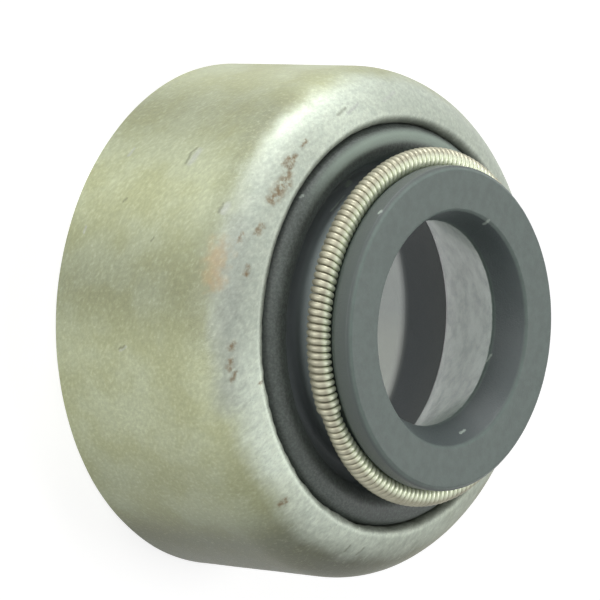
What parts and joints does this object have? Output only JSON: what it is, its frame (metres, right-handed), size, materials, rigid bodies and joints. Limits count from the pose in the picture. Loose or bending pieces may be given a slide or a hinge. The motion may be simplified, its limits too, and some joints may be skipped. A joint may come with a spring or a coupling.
{
  "type": "valve seal",
  "caption": "Press-on valve stem seal: rounded steel shell, bonded rubber body with neck, head and stem lip, and a coiled garter spring round the head.",
  "frame": {"origin": "centre of the steel shell's open rim, on the plane that the rim stands on", "axes": "+Z along the stem's axis, from the guide socket to the head with the spring; X and Y are any two square radii"},
  "size_m": [0.017, 0.017, 0.0099],
  "materials": {
    "shell_steel": "satin, olive-tinted plating, worn silvery on the shoulder",
    "seal_rubber": "matte moulded black rubber",
    "spring_steel": "bright drawn wire"
  },
  "bodies": {
    "root": {"steel_shell": "shell_steel", "rubber_body": "seal_rubber", "garter_spring": "spring_steel"}
  },
  "joints": []
}
